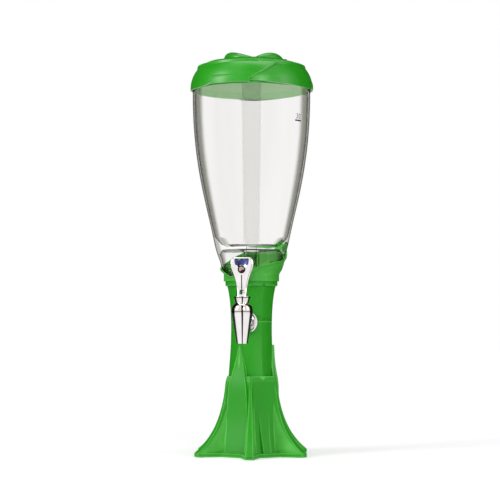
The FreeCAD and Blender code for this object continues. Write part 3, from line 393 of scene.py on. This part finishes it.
# Pieces whose finish differs from that of their slot
OWN_FINISHES = {
    "ice_tube": clear_material(
        "ice_tube_moulding", face=(0.93, 0.93, 0.925, 1.0), band=(0.90, 0.90, 0.895, 1.0),
        rim=(0.80, 0.80, 0.79, 1.0), bend=1.02),
    "tap_bonnet": chrome_material(
        "bonnet_plate", dark=(0.66, 0.57, 0.50, 1.0), light=(0.90, 0.86, 0.82, 1.0),
        smooth=0.05, rough=0.10, shadow_line=BONNET_SHADOW_LINE),
    "tap_collar": chrome_material(
        "collar_plate", dark=(0.78, 0.74, 0.71, 1.0), light=(0.92, 0.90, 0.88, 1.0),
        smooth=0.03, rough=0.07, shadow_line=COLLAR_SHADOW_LINE),
    "lid": moulded_plastic(
        "lid_moulding", GREEN, HIGHLIGHT_GREEN, roughness=0.30, inside=LID_INSIDE_GREEN,
        middle=LID_MIDDLE, wear=0.15),
}
CUP_GREEN = moulded_plastic(
    "cup_moulding", GREEN, HIGHLIGHT_GREEN, roughness=0.38, inside=CUP_INSIDE_GREEN,
    middle=CUP_MIDDLE, Specular_IOR_Level=0.3)


def dress_solids():
    for part in frame["record"]["subparts"]:
        finish = frame["nodes"][part["node"]].data.materials
        finish.clear()
        finish.append(OWN_FINISHES.get(part["node"], MATERIALS[part["material_slot"]]))


dress_solids()

# Distance from the axis, outside every piece, from which a surface is looked for
RAY_START = 0.2


def surface_tree(node):
    mesh = frame["nodes"][node].data
    return BVHTree.FromPolygons([point.co for point in mesh.vertices],
                                [face.vertices for face in mesh.polygons])


def outer_radius(tree, turn, height):
    """Radius at which a turned wall is first met from outside."""
    across = Vector((math.sin(turn), -math.cos(turn), 0))
    hit = tree.ray_cast(across * RAY_START + Vector((0, 0, height)), -across)[0]
    return hit.to_2d().length


# Turn between two faces above which their edge stays sharp
SHARP_ANGLE = math.radians(35)


def finish_piece(piece, material, body):
    piece.data.materials.clear()
    piece.data.materials.append(material)
    piece.data.shade_smooth()
    piece.data.set_sharp_from_angle(angle=SHARP_ANGLE)
    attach(piece, body)


def add_piece(name, shape, material, body):
    """Turns a bmesh into a piece that rides on a body."""
    mesh = bpy.data.meshes.new(name)
    shape.to_mesh(mesh)
    shape.free()
    piece = new_object(name, mesh)
    finish_piece(piece, material, body)
    return piece


# Leaf cup: its rim climbs from the notch beside the tap to the point at the back right
# Turn from -Y towards +X in degrees, and height
CUP_RIM = ((-35, 0.2655), (-22, 0.2685), (-10, 0.2715), (13, 0.2770), (40, 0.2830), (62, 0.2876),
           (90, 0.2915), (108, 0.2970), (122, 0.3065), (134, 0.3185), (139, 0.3226), (146, 0.3185),
           (156, 0.3110), (175, 0.3078), (200, 0.3060), (217, 0.2996), (239, 0.2896), (271, 0.2800),
           (300, 0.2725), (325, 0.2655))
# Drop below the rim and outward roll of the rim's rows, from the wall to the crest and down inside
RIM_ROWS = ((0.0042, 0.0), (0.0034, 0.0003), (0.0028, 0.0010), (0.0016, 0.0013), (0.0006, 0.0010),
            (0.0, 0.0002), (0.0003, -0.0010))
RIM_SMOOTHINGS = 3
CUP_COLUMNS = 180
CUP_ROWS = 10
INSIDE_ROW_STEP = 2
CUP_WALL = 0.0018
# The wall's outer face stands a gap and the wall off the vessel, its inner face the inside gap
CUP_GAP = 0.0006
CUP_INSIDE_GAP = 0.0003
# Height at which the solid's own wall is cut off, and how far below it the new wall starts
CUP_CUT = 0.2600
CUP_OVERLAP = 0.001
# Height below which the wall goes straight down and no longer follows the vessel
FOLLOW_LOW = 0.2705
WELD_DISTANCE = 1e-6


def rim_height(turn):
    """Rim height at a turn, straight between the table's points."""
    turn = (turn - CUP_RIM[0][0]) % 360 + CUP_RIM[0][0]
    for (start, low), (end, high) in zip(CUP_RIM, CUP_RIM[1:]):
        if start <= turn <= end:
            return low + (high - low) * (turn - start) / (end - start)
    return CUP_RIM[0][1]


def smooth_rim():
    """Rim height at each column, with the table's corners rounded."""
    rims = [rim_height(360 * step / CUP_COLUMNS) for step in range(CUP_COLUMNS)]
    for _ in range(RIM_SMOOTHINGS):
        rims = [(rims[step - 1] + 2 * rims[step] + rims[(step + 1) % CUP_COLUMNS]) / 4
                for step in range(CUP_COLUMNS)]
    return rims


def petal_column(vessel_wall, turn, rim):
    """Points up the cup's outside, over its rolled rim and down its inside, at one turn."""
    across = Vector((math.sin(turn), -math.cos(turn), 0))
    start = CUP_CUT - CUP_OVERLAP
    rise = rim - RIM_ROWS[0][0] - start
    rows = [(start + rise * row / CUP_ROWS, 0.0) for row in range(CUP_ROWS)]
    rows += [(rim - drop, roll) for drop, roll in RIM_ROWS]
    points = []
    for height, roll in rows:
        seat = outer_radius(vessel_wall, turn, max(height, FOLLOW_LOW)) + CUP_GAP
        points.append(across * (seat + CUP_WALL + roll) + Vector((0, 0, height)))
    for row in range(CUP_ROWS, -1, -INSIDE_ROW_STEP):
        height = start + rise * row / CUP_ROWS
        seat = outer_radius(vessel_wall, turn, max(height, FOLLOW_LOW)) + CUP_INSIDE_GAP
        points.append(across * seat + Vector((0, 0, height)))
    return points


def make_leaf_cup():
    """The solid cup below the cut, with a petal-edged wall on it."""
    solid = bmesh.new()
    solid.from_mesh(frame["nodes"]["leaf_cup"].data)
    bmesh.ops.remove_doubles(solid, verts=solid.verts, dist=WELD_DISTANCE)
    cut = bmesh.ops.bisect_plane(solid, geom=solid.verts[:] + solid.edges[:] + solid.faces[:],
                                 plane_co=(0, 0, CUP_CUT), plane_no=(0, 0, 1), clear_outer=True)
    edges = [part for part in cut["geom_cut"] if isinstance(part, bmesh.types.BMEdge)]
    bmesh.ops.triangle_fill(solid, edges=edges, normal=(0, 0, 1), use_beauty=True)
    vessel_wall = surface_tree("vessel")
    columns = []
    for step, rim in enumerate(smooth_rim()):
        points = petal_column(vessel_wall, math.radians(360 * step / CUP_COLUMNS), rim)
        columns.append([solid.verts.new(point) for point in points])
    for left, right in zip(columns, columns[1:] + columns[:1]):
        around = list(range(len(left))) + [0]
        for low, high in zip(around, around[1:]):
            solid.faces.new((left[low], right[low], right[high], left[high]))
    bmesh.ops.triangulate(solid, faces=solid.faces)
    cup = add_piece("leaf_cup_petals", solid, CUP_GREEN, "tower")
    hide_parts("leaf_cup")


make_leaf_cup()

# Lever head: dark blue scooped inlay painted as a reflection, blank domed badge in the dish painted
# with a warm reflection inside a black ring of painted shade, and a black strip of painted shade
# down the shaft
# Rows of height and half width, from the top down
INLAY_ROWS = ((0.2908, 0.0100), (0.2902, 0.0108), (0.2880, 0.0108), (0.2860, 0.0106),
              (0.2840, 0.0102), (0.2822, 0.0096), (0.2812, 0.0090))
INLAY_LIFT = 0.0002
# Black strip of painted shade down the shaft, where the groove's shade falls
GROOVE_ROWS = ((0.2672, 0.0002), (0.2655, 0.0008), (0.2550, 0.0007), (0.2450, 0.0006),
               (0.2385, 0.0005), (0.2372, 0.0002))
GROOVE_LIFT = 0.00015
PLATE_DEPTH = 0.0006
PLATE_COLUMNS = 16
# About where the lever's front face lies along Y
LEVER_FRONT = -0.067
# Radius and rise of the rings of the badge and of the black seat round it
BADGE_RINGS = ((0.0, 0.0013), (0.0014, 0.00122), (0.0028, 0.00098), (0.0038, 0.0006),
               (0.0043, 0.0001), (0.0044, -0.0006))
# The seat is a black ring of painted shade in the gap round the badge
SEAT_RINGS = ((0.0, 0.0003), (0.0044, 0.0003), (0.0052, 0.00035), (0.0058, 0.0003),
              (0.0060, -0.0006))
BADGE_HEIGHT = 0.275
BADGE_SECTORS = 40


def front_point(tree, across, height):
    """Point of a surface met first from the front, or the nearest one beside an edge."""
    met = tree.ray_cast(Vector((across, -RAY_START, height)), Vector((0, 1, 0)))[0]
    return met or tree.find_nearest(Vector((across, LEVER_FRONT, height)))[0]


def make_front_plate(name, rows, lift, material):
    """Thin inlay that follows the lever's front face, with its edge let into the face."""
    lever = surface_tree("tap_lever")
    plate = bmesh.new()
    front, back = [], []
    for height, half in rows:
        places = [-half + 2 * half * step / PLATE_COLUMNS for step in range(PLATE_COLUMNS + 1)]
        met = [front_point(lever, across, height) for across in places]
        front.append([plate.verts.new(point - Vector((0, lift, 0))) for point in met])
        back.append([plate.verts.new(point + Vector((0, PLATE_DEPTH, 0))) for point in met])
    last = len(rows) - 1
    for row in range(last):
        for step in range(PLATE_COLUMNS):
            for side in (front, back):
                plate.faces.new((side[row][step], side[row][step + 1], side[row + 1][step + 1],
                                 side[row + 1][step]))
        for step in (0, PLATE_COLUMNS):
            plate.faces.new((front[row][step], front[row + 1][step], back[row + 1][step],
                             back[row][step]))
    for row in (0, last):
        for step in range(PLATE_COLUMNS):
            plate.faces.new((front[row][step], front[row][step + 1], back[row][step + 1],
                             back[row][step]))
    bmesh.ops.recalc_face_normals(plate, faces=plate.faces)
    add_piece(name, plate, material, "lever")


def make_disc(name, ring_rises, material):
    """Round disc laid into the dish of the lever's head, ring by ring on the dish's surface."""
    lever = surface_tree("tap_lever")
    dish = front_point(lever, 0.0, BADGE_HEIGHT)
    disc = bmesh.new()
    crest = disc.verts.new(dish - Vector((0, ring_rises[0][1], 0)))
    rings = []
    for radius, rise in ring_rises[1:]:
        ring = []
        for step in range(BADGE_SECTORS):
            turn = 2 * math.pi * step / BADGE_SECTORS
            place = front_point(lever, radius * math.cos(turn),
                                BADGE_HEIGHT + radius * math.sin(turn))
            ring.append(disc.verts.new(place - Vector((0, rise, 0))))
        rings.append(ring)
    for step in range(BADGE_SECTORS):
        after = (step + 1) % BADGE_SECTORS
        disc.faces.new((crest, rings[0][step], rings[0][after]))
        for inner, outer in zip(rings, rings[1:]):
            disc.faces.new((inner[step], outer[step], outer[after], inner[after]))
    disc.faces.new(rings[-1])
    bmesh.ops.recalc_face_normals(disc, faces=disc.faces)
    add_piece(name, disc, material, "lever")


# Dark blue painted on the inlay, standing in for a blue reflection in the chrome scoop
BLUE_CHROME = chrome_material(
    "blue_painted_reflection_chrome", dark=(0.045, 0.055, 0.17, 1.0), light=(0.10, 0.12, 0.30, 1.0),
    smooth=0.22, rough=0.32, shadow_line=INLAY_SHADOW_LINE)
# Near-black finish of the painted shade strips and ring
PAINTED_SHADE_CHROME = chrome_material(
    "painted_shade_black", dark=(0.012, 0.012, 0.013, 1.0), light=grey(0.03), smooth=0.3, rough=0.5)
# Warm brown painted on the blank badge, standing in for the warm reflection its dome shows
WARM_BADGE_REFLECTION = chrome_material(
    "badge_painted_reflection", dark=(0.30, 0.19, 0.16, 1.0), light=(0.52, 0.38, 0.34, 1.0),
    smooth=0.38, rough=0.5)
make_front_plate("lever_inlay", INLAY_ROWS, INLAY_LIFT, BLUE_CHROME)
make_front_plate("lever_groove_shade", GROOVE_ROWS, GROOVE_LIFT, PAINTED_SHADE_CHROME)
make_disc("badge_seat", SEAT_RINGS, PAINTED_SHADE_CHROME)
make_disc("lever_badge", BADGE_RINGS, WARM_BADGE_REFLECTION)

# Level mark: a plain number over a thick line, printed on the vessel's right
MARK_NUMBER = "30"
MARK_TURN = math.radians(65)
MARK_HEIGHT = 0.4970
MARK_LETTER = 0.0112
LETTER_CURVES = 3
LINE_HALF_WIDTH = 0.0070
LINE_THICKNESS = 0.0022
LINE_DROP = 0.0036
LINE_STEPS = 12
INK_LIFT = 0.00012
INK = moulded_plastic(
    "printed_ink", (0.07, 0.05, 0.055, 1.0), (0.12, 0.10, 0.105, 1.0), roughness=0.55,
    grain=1200.0)


def evaluated_mesh(thing):
    """Plain mesh of an object as its curve or modifier makes it; the object goes."""
    graph = bpy.context.evaluated_depsgraph_get()
    mesh = bpy.data.meshes.new_from_object(thing.evaluated_get(graph))
    bpy.data.objects.remove(thing)
    return mesh


def make_level_mark():
    wall = surface_tree("vessel")
    curve = bpy.data.curves.new("level_number", "FONT")
    curve.body = MARK_NUMBER
    curve.size = MARK_LETTER
    curve.align_x = "CENTER"
    curve.resolution_u = LETTER_CURVES
    mark = bmesh.new()
    mark.from_mesh(evaluated_mesh(new_object("level_number", curve)))
    places = [-LINE_HALF_WIDTH + 2 * LINE_HALF_WIDTH * step / LINE_STEPS
              for step in range(LINE_STEPS + 1)]
    low = [mark.verts.new((across, -LINE_DROP, 0)) for across in places]
    high = [mark.verts.new((across, LINE_THICKNESS - LINE_DROP, 0)) for across in places]
    for step in range(LINE_STEPS):
        mark.faces.new((low[step], low[step + 1], high[step + 1], high[step]))
    for point in mark.verts:
        height = MARK_HEIGHT + point.co.y
        radius = outer_radius(wall, MARK_TURN, height) + INK_LIFT
        turn = MARK_TURN + point.co.x / radius
        point.co = Vector((math.sin(turn) * radius, -math.cos(turn) * radius, height))
    add_piece("level_mark", mark, INK, "tower")


make_level_mark()


# Repeated small parts, grown by Geometry Nodes
def start_tree(name, sizes):
    """A tree with a named input for each size."""
    tree = bpy.data.node_groups.new(name, "GeometryNodeTree")
    for label, value in sizes.items():
        kind = "NodeSocketInt" if isinstance(value, int) else "NodeSocketFloat"
        socket = tree.interface.new_socket(label, in_out="INPUT", socket_type=kind)
        socket.default_value = value
    tree.interface.new_socket("Geometry", in_out="OUTPUT", socket_type="NodeSocketGeometry")
    return tree, tree.nodes.new("NodeGroupInput").outputs


def shift_shape(tree, geometry, **axes):
    """Moves a shape along the named axes."""
    way = add_node(tree, "ShaderNodeCombineXYZ", **axes)
    return add_node(tree, "GeometryNodeTransform", Geometry=geometry,
                    Translation=way.outputs[0]).outputs[0]


def join_shapes(tree, *shapes):
    node = tree.nodes.new("GeometryNodeJoinGeometry")
    for shape in reversed(shapes):
        tree.links.new(shape, node.inputs[0])
    return node.outputs[0]


def rod(tree, radius, length, sides):
    return add_node(tree, "GeometryNodeMeshCylinder", Vertices=sides, Radius=radius,
                    Depth=length).outputs[0]


def wire_along(tree, path, radius, sides):
    """Round wire along a curve, with closed ends where the curve is open."""
    section = add_node(tree, "GeometryNodeCurvePrimitiveCircle", Radius=radius, Resolution=sides)
    return add_node(tree, "GeometryNodeCurveToMesh", Curve=path, Fill_Caps=True,
                    Profile_Curve=section.outputs[0]).outputs[0]


def wire_ring(tree, radius, wire):
    path = add_node(tree, "GeometryNodeCurvePrimitiveCircle", Radius=radius, Resolution=40)
    return wire_along(tree, path.outputs[0], wire, sides=8)


def helix(tree, radius, height, turns, steps):
    return add_node(tree, "GeometryNodeCurveSpiral", Resolution=steps, Rotations=turns,
                    Start_Radius=radius, End_Radius=radius, Height=height).outputs[0]


def close_tree(tree, geometry, material):
    real = add_node(tree, "GeometryNodeRealizeInstances", Geometry=geometry)
    finished = add_node(tree, "GeometryNodeSetMaterial", Geometry=real.outputs[0],
                        Material=material)
    feed(tree, finished.outputs[0], tree.nodes.new("NodeGroupOutput").inputs[0])


def set_round(tree, given, shape, material):
    """Sets a shape at each point of a turned ring and closes the tree."""
    ring = add_node(tree, "GeometryNodeMeshCircle", Vertices=given["Count"],
                    Radius=given["Ring Radius"])
    set_out = add_node(tree, "GeometryNodeInstanceOnPoints", Points=ring.outputs[0],
                       Instance=shape)
    turn = add_node(tree, "ShaderNodeCombineXYZ", Z=given["First Turn"])
    rise = add_node(tree, "ShaderNodeCombineXYZ", Z=given["Base Height"])
    turned = add_node(tree, "GeometryNodeTransform", Geometry=set_out.outputs[0],
                      Rotation=turn.outputs[0], Translation=rise.outputs[0])
    close_tree(tree, turned.outputs[0], material)


def grow(name, tree, sizes, slot, node):
    """Evaluates a tree once and keeps the plain mesh in place of a solid of the tower."""
    seed = new_object(name + "_seed", bpy.data.meshes.new(name + "_seed"))
    modifier = seed.modifiers.new("grow", "NODES")
    modifier.node_group = tree
    for item in tree.interface.items_tree:
        if item.in_out == "INPUT":
            modifier[item.identifier] = sizes[item.name]
    piece = new_object(name, evaluated_mesh(seed))
    finish_piece(piece, MATERIALS[slot], "tower")
    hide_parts(node)
    return piece


# Rubber pads with round beads under them
PAD_SIZES = {"Count": 6, "Ring Radius": 0.0820, "First Turn": math.radians(-79),
             "Base Height": 0.0, "Pad Radius": 0.0049, "Pad Height": 0.0026, "Bead": 0.0005}
PAD_RISE = 0.0004
BEAD_SHARES = (0.34, 0.62, 0.88)


def make_foot_pads():
    tree, given = start_tree("treaded_pads", PAD_SIZES)
    disc = rod(tree, given["Pad Radius"], given["Pad Height"], sides=32)
    middle = math_node(tree, "MULTIPLY", given["Pad Height"], 0.5)
    shapes = [shift_shape(tree, disc, Z=math_node(tree, "ADD", middle, PAD_RISE))]
    for share in BEAD_SHARES:
        reach = math_node(tree, "MULTIPLY", given["Pad Radius"], share)
        shapes.append(shift_shape(tree, wire_ring(tree, reach, given["Bead"]), Z=given["Bead"]))
    set_round(tree, given, join_shapes(tree, *shapes), MATERIALS["rubber"])
    grow("treaded_foot_pads", tree, PAD_SIZES, "rubber", "foot_pads")


# Screws with a cross recess and a threaded shank
SCREW_SIZES = {"Count": 3, "Ring Radius": 0.0190, "First Turn": math.radians(-49),
               "Base Height": 0.0956, "Head Radius": 0.0038, "Head Height": 0.0024,
               "Shank Radius": 0.0016, "Length": 0.0172, "Recess Width": 0.0010,
               "Thread Turns": 12.0, "Thread Bead": 0.0003}
RECESS_HEIGHT = 0.0024
# Shares of the head's radius: its lower face and the recess from end to end
HEAD_LOW_SHARE = 0.72
RECESS_SHARE = 1.1
# Shares of the length: where the thread starts and how far it runs
THREAD_START_SHARE = 0.19
THREAD_SHARE = 0.78


def make_stem_screws():
    tree, given = start_tree("cross_recess_screws", SCREW_SIZES)

    def share_of(label, share):
        return math_node(tree, "MULTIPLY", given[label], share)

    head = add_node(tree, "GeometryNodeMeshCone", Vertices=32, Depth=given["Head Height"],
                    Radius_Bottom=share_of("Head Radius", HEAD_LOW_SHARE),
                    Radius_Top=given["Head Radius"]).outputs[0]
    cut = tree.nodes.new("GeometryNodeMeshBoolean")
    cut.operation = "DIFFERENCE"
    feed(tree, head, cut.inputs["Mesh 1"])
    long_way = share_of("Head Radius", RECESS_SHARE)
    for across, along in ((long_way, given["Recess Width"]), (given["Recess Width"], long_way)):
        size = add_node(tree, "ShaderNodeCombineXYZ", X=across, Y=along, Z=RECESS_HEIGHT)
        bar = add_node(tree, "GeometryNodeMeshCube", Size=size.outputs[0])
        tree.links.new(bar.outputs[0], cut.inputs["Mesh 2"])
    shank = rod(tree, given["Shank Radius"], given["Length"], sides=20)
    shank = shift_shape(tree, shank, Z=share_of("Length", 0.5))
    path = helix(tree, given["Shank Radius"], share_of("Length", THREAD_SHARE),
                 given["Thread Turns"], steps=16)
    thread = shift_shape(tree, wire_along(tree, path, given["Thread Bead"], sides=5),
                         Z=share_of("Length", THREAD_START_SHARE))
    set_round(tree, given, join_shapes(tree, cut.outputs[0], shank, thread), MATERIALS["steel"])
    grow("cross_recess_stem_screws", tree, SCREW_SIZES, "steel", "stem_screws")


SPRING_SIZES = {"Coil Radius": 0.0052, "Wire Radius": 0.00045, "Free Height": 0.0308,
                "Turns": 6.0, "Seat Height": 0.19215}
TAP_AXIS = -0.060


def make_tap_spring():
    """Closing spring with closed end coils, built at its free height; the real spring shortens
    upwards as the valve lifts.
    """
    tree, given = start_tree("closing_spring", SPRING_SIZES)
    path = helix(tree, given["Coil Radius"], given["Free Height"], given["Turns"], steps=28)
    coil = wire_along(tree, path, given["Wire Radius"], sides=10)
    low = wire_ring(tree, given["Coil Radius"], given["Wire Radius"])
    high = shift_shape(tree, low, Z=given["Free Height"])
    placed = shift_shape(tree, join_shapes(tree, coil, low, high), Y=TAP_AXIS,
                         Z=given["Seat Height"])
    close_tree(tree, placed, MATERIALS["steel"])
    spring = grow("coiled_tap_spring", tree, SPRING_SIZES, "steel", "tap_spring")
    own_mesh(spring)


make_foot_pads()
make_stem_screws()
make_tap_spring()

# Studio: white floor and surround, and darker surroundings that only chrome mirrors
FLOOR_SIDE = 14.0
FLOOR_PAINT = (grey(0.80), grey(0.83))
FLOOR_MIRRORED = grey(0.02)
# Glow that lifts the lit floor to white, by its distance from the tower as a share of the reach
GLOW_REACH = 5.0
FLOOR_GLOW = ((0.0, 0.37), (0.08, 0.38), (0.30, 0.62), (0.54, 0.72), (1.0, 0.82))
PLAIN_LIGHT = grey(0.31)
# Grey that chrome mirrors along the line of sight, from the camera's side to behind the tower
MIRROR_FLAGS = ((0.0, 1.0), (0.46, 0.9), (0.54, 0.01), (0.95, 0.01), (1.0, 0.35))
# Grey seen across it, left to right: the dark flag is the gap between the two front lamps
MIDDLE_FLAG = ((0.0, 1.0), (0.40, 1.0), (0.43, 0.0), (0.57, 0.0), (0.60, 1.0))
# How the gap fades out along the line of sight, since it is seen on the camera's side only
MIDDLE_END = ((0.0, 0.0), (0.3, 0.0), (0.4, 1.0))
# Name, place, width, height and watts of each lamp
LAMPS = (("soft_left", (-1.5, -1.4, 1.1), 0.7, 1.5, 24),
         ("soft_front", (0.95, -1.65, 0.9), 0.4, 1.1, 10),
         ("soft_right", (1.6, -0.4, 0.9), 0.5, 1.2, 4),
         ("soft_top", (0, 0.1, 2.2), 1.2, 1.2, 13))
LAMP_AIM = (0, 0, 0.3)


def share_along(tree, direction, axis):
    """How far a direction points along an axis, from 0 (against it) to 1 (along it)."""
    return spread(tree, vector_node(tree, "DOT_PRODUCT", direction, axis)["Value"], -1.0, 1.0)


def mirror_grey(tree, direction):
    """What chrome shows of the studio: white in front of the tower, dark from the sides back."""
    away = share_along(tree, direction, -TO_CAMERA)
    side = share_along(tree, direction, TO_RIGHT)
    gap = mix_colour(tree, 1.0, grey_ramp(tree, side, MIDDLE_FLAG),
                     grey_ramp(tree, away, MIDDLE_END), "LIGHTEN")
    return mix_colour(tree, 1.0, grey_ramp(tree, away, MIRROR_FLAGS), gap, "MULTIPLY")


def make_floor():
    """Floor that takes shadows, glows to white for the camera and shows chrome its own greys."""
    bpy.ops.mesh.primitive_plane_add(size=FLOOR_SIDE, location=(0, 0, 0))
    floor = bpy.context.object
    floor.name = "studio_floor"
    material, tree, shader = new_material("floor_paint", Roughness=0.9, Specular_IOR_Level=0.1)
    place = object_place(tree)
    paint = mix_colour(tree, noise_at(tree, place, 3.0), *FLOOR_PAINT)
    path = tree.nodes.new("ShaderNodeLightPath").outputs
    through = path["Is Transmission Ray"]
    glossy = math_node(tree, "SUBTRACT", path["Is Glossy Ray"], through)
    glossy = math_node(tree, "MAXIMUM", glossy, 0.0)
    feed(tree, mix_colour(tree, glossy, paint, FLOOR_MIRRORED), shader.inputs["Base Color"])
    seen = math_node(tree, "MAXIMUM", path["Is Camera Ray"], through)
    reach = spread(tree, vector_node(tree, "LENGTH", place)["Value"], 0.0, GLOW_REACH)
    way = vector_node(tree, "NORMALIZE", place)["Vector"]
    shown = mix_colour(tree, glossy, grey_ramp(tree, reach, FLOOR_GLOW), mirror_grey(tree, way))
    feed(tree, shown, shader.inputs["Emission Color"])
    feed(tree, math_node(tree, "MAXIMUM", seen, glossy), shader.inputs["Emission Strength"])
    floor.data.materials.append(material)


def make_world():
    """Plain light for surfaces, white for the camera and through clear walls, greys for chrome."""
    world = bpy.data.worlds.new("studio_world")
    bpy.context.scene.world = world
    world.use_nodes = True
    tree = world.node_tree
    path = tree.nodes.new("ShaderNodeLightPath").outputs
    direction = tree.nodes.new("ShaderNodeTexCoord").outputs["Generated"]
    shown = mix_colour(tree, path["Is Glossy Ray"], PLAIN_LIGHT, mirror_grey(tree, direction))
    seen = math_node(tree, "MAXIMUM", path["Is Transmission Ray"], path["Is Camera Ray"])
    feed(tree, mix_colour(tree, seen, shown, grey(1.0)), tree.nodes["Background"].inputs["Color"])


def make_lamp(name, place, width, height, watts):
    data = bpy.data.lights.new(name, "AREA")
    data.shape = "RECTANGLE"
    data.size = width
    data.size_y = height
    data.energy = watts
    lamp = new_object(name, data)
    look_at(lamp, place, LAMP_AIM)
    lamp.visible_camera = False


make_floor()
make_world()
for lamp in LAMPS:
    make_lamp(*lamp)
